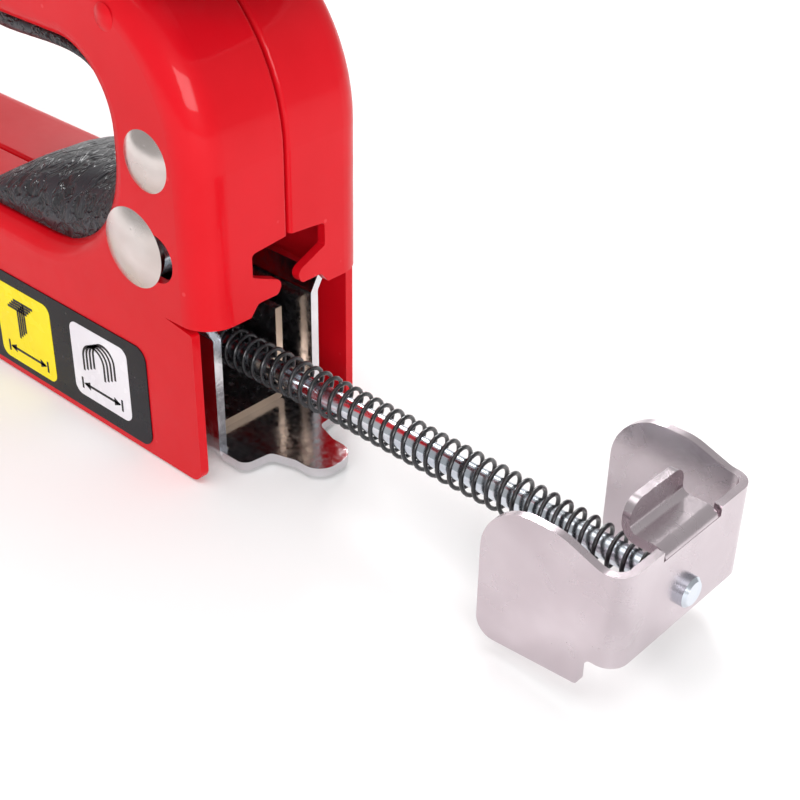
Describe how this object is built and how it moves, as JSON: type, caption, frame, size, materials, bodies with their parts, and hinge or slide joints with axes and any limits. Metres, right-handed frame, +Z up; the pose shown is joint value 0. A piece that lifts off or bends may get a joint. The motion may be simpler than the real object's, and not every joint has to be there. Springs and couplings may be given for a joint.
{
  "type": "staple gun",
  "caption": "Hand tacker with a squeeze lever, finger hole, spring-driven striker and a rear-loading magazine whose hooked pusher pulls out.",
  "frame": {"origin": "middle of the underside, half way between the nose and the pulled-out end cap", "axes": "+X to the rear, where the pusher pulls out; +Y to the right seen from behind; +Z up"},
  "size_m": [0.2136, 0.0282, 0.0974],
  "materials": {
    "red_paint": "glossy red stove enamel on pressed steel",
    "nickel": "satin bright nickel plate",
    "chrome": "bright chrome plate with sheared grey edges",
    "zinc": "bright bluish zinc plate",
    "spring_steel": "black oxide on spring wire",
    "steel": "plain tool steel, lightly oiled",
    "rubber": "soft grained rubber with a leather-like surface",
    "knob_plastic": "fine matt moulded plastic",
    "label_print": "gloss printed film"
  },
  "bodies": {
    "frame": {"left_shell": "red_paint", "right_shell": "red_paint", "magazine_channel": "chrome", "staple_rail": "chrome", "striker_bumper": "rubber", "magazine_supports": "steel", "nose_plate": "chrome", "drive_spring": "steel", "lever_pivot": "nickel", "upper_rear_rivet": "nickel", "lower_rear_rivet": "nickel", "upper_rear_spacer": "zinc", "lower_rear_spacer": "zinc", "front_lower_rivet": "nickel", "front_upper_rivet": "nickel", "front_upper_spacer": "zinc", "hand_bar_rivet": "nickel", "hand_bar_spacer": "zinc", "stop_pin": "zinc", "grip_insert": "rubber", "left_label": "label_print", "right_label": "label_print"},
    "pusher": {"end_cap": "nickel", "pusher_rod": "zinc", "pusher_spring": "spring_steel"},
    "follower": {"follower": "steel"},
    "striker": {"striker_blade": "steel", "striker_carrier": "steel"},
    "seat": {"spring_seat": "steel"},
    "power_screw": {"power_screw": "zinc", "power_knob": "knob_plastic"},
    "lever": {"lever": "nickel", "lifting_arm": "steel", "arm_pin": "zinc"}
  },
  "joints": [
    {"name": "pusher_slide", "type": "slide", "parent": "frame", "child": "pusher", "axis": [1, 0, 0], "range_m": [-0.0463, 0.126]},
    {"name": "follower_slide", "type": "slide", "parent": "pusher", "child": "follower", "axis": [1, 0, 0], "range_m": [0, 0.085], "deforming": ["pusher_spring"]},
    {"name": "striker_slide", "type": "slide", "parent": "frame", "child": "striker", "axis": [0, 0, 1], "range_m": [0, 0.013], "deforming": ["drive_spring"]},
    {"name": "power_turn", "type": "hinge", "parent": "frame", "child": "power_screw", "pos_m": [-0.09577, 0, 0.08], "axis": [0, 0, 1], "range_deg": [0, 1080]},
    {"name": "seat_slide", "type": "slide", "parent": "frame", "child": "seat", "axis": [0, 0, -1], "range_m": [0, 0.00375], "deforming": ["drive_spring"]},
    {"name": "lever_squeeze", "type": "hinge", "parent": "frame", "child": "lever", "pos_m": [-0.06788, 0, 0.066], "axis": [0, -1, 0], "range_deg": [0, 24]}
  ],
  "couplings": [
    {"joint": "power_turn", "follows": "seat_slide", "rad_per_m": 5026.5}
  ]
}
